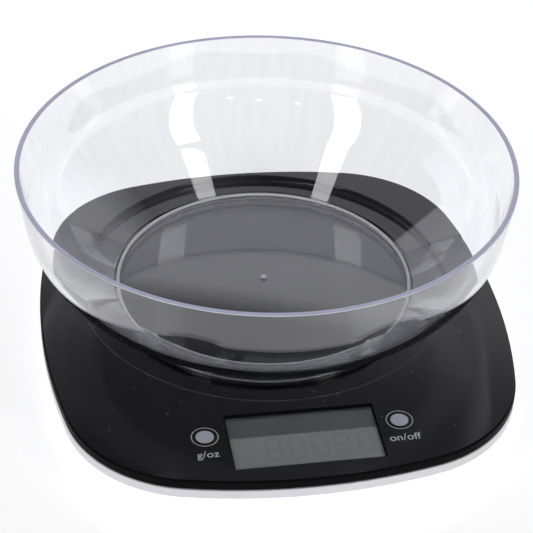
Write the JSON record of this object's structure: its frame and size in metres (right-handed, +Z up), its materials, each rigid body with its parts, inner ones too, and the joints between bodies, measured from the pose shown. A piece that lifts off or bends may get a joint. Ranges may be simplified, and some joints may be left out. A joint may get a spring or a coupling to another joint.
{
  "type": "kitchen scale",
  "caption": "Low digital kitchen scale: black platform with display and keys on a white base, and a large clear round bowl that lifts off.",
  "frame": {"origin": "on the floor under the middle of the whole scale: the middle of its bounding box at the bottom of the feet", "axes": "+Z up, the display and the keys at the -Y end, +X to the right of a person who faces the display"},
  "size_m": [0.2148, 0.2379, 0.0878],
  "materials": {
    "clear_plastic": "clear moulded styrene, polished, with a cool edge tint",
    "black_gloss": "gloss black moulded plastic",
    "clear_lens": "clear acrylic sheet",
    "lcd_glass": "grey-green liquid crystal glass under a polariser",
    "white_plastic": "fine matt",
    "grey_rubber": "striped conductive silicone",
    "board_green": "solder mask on glass laminate",
    "zinc_steel": "bright zinc plate",
    "black_resin": "moulded resin",
    "bare_aluminium": "milled",
    "plate_steel": "stamped, bright",
    "white_silicone": "cast silicone",
    "white_base": "fine satin white moulding",
    "switch_black": "satin",
    "battery_wrap": "printed sleeve on steel can, plain",
    "nickel": "nickel plate",
    "red_sleeve": "PVC wire sleeve",
    "black_sleeve": "PVC wire sleeve",
    "white_sleeve": "PVC wire sleeve",
    "foot_rubber": "soft grey rubber"
  },
  "bodies": {
    "base": {"base_shell": "white_base", "foot_front_left": "foot_rubber", "foot_front_right": "foot_rubber", "foot_rear_left": "foot_rubber", "foot_rear_right": "foot_rubber", "cell_base_screws": "zinc_steel", "load_cell": "bare_aluminium", "gauge_coating": "white_silicone", "cell_leads": "white_sleeve", "battery_front": "battery_wrap", "battery_rear": "battery_wrap", "battery_spring_front": "nickel", "battery_spring_rear": "nickel", "contact_bridge": "nickel", "contact_positive": "nickel", "contact_negative": "nickel", "battery_lead_positive": "red_sleeve", "battery_lead_negative": "black_sleeve"},
    "platform": {"platform_cover": "black_gloss", "display_lens": "clear_lens", "lcd_panel": "lcd_glass", "lcd_frame": "white_plastic", "zebra_strip": "grey_rubber", "circuit_board": "board_green", "board_screws": "zinc_steel", "chip_cover": "black_resin", "amplifier_chip": "black_resin", "board_capacitor": "bare_aluminium", "carrier_plate": "plate_steel", "carrier_screws": "zinc_steel", "cell_spacer": "plate_steel", "cell_top_screws": "zinc_steel", "unit_switch": "switch_black", "on_switch": "switch_black"},
    "unit_key": {"unit_button": "black_gloss", "unit_plunger": "switch_black"},
    "on_key": {"on_button": "black_gloss", "on_plunger": "switch_black"},
    "battery_door": {"battery_door": "white_base"},
    "bowl": {"bowl": "clear_plastic"}
  },
  "joints": [
    {"name": "platform_travel", "type": "slide", "parent": "base", "child": "platform", "axis": [0, 0, 1], "range_m": [-0.0006, 0], "stiffness_N_per_m": 100000, "springref_m": 0.00003, "deforming": ["load_cell", "gauge_coating", "cell_leads", "battery_lead_positive", "battery_lead_negative"]},
    {"name": "unit_key_press", "type": "slide", "parent": "platform", "child": "unit_key", "axis": [0, 0, 1], "range_m": [-0.0005, 0], "stiffness_N_per_m": 2000, "springref_m": 0.0003},
    {"name": "on_key_press", "type": "slide", "parent": "platform", "child": "on_key", "axis": [0, 0, 1], "range_m": [-0.0005, 0], "stiffness_N_per_m": 2000, "springref_m": 0.0003},
    {"name": "battery_door_hinge", "type": "hinge", "parent": "base", "child": "battery_door", "pos_m": [0, 0.04417, 0.0029], "axis": [-1, 0, 0], "range_deg": [0, 95]},
    {"name": "bowl_lift", "type": "slide", "parent": "platform", "child": "bowl", "axis": [0, 0, 1], "range_m": [0, 0.12]}
  ]
}
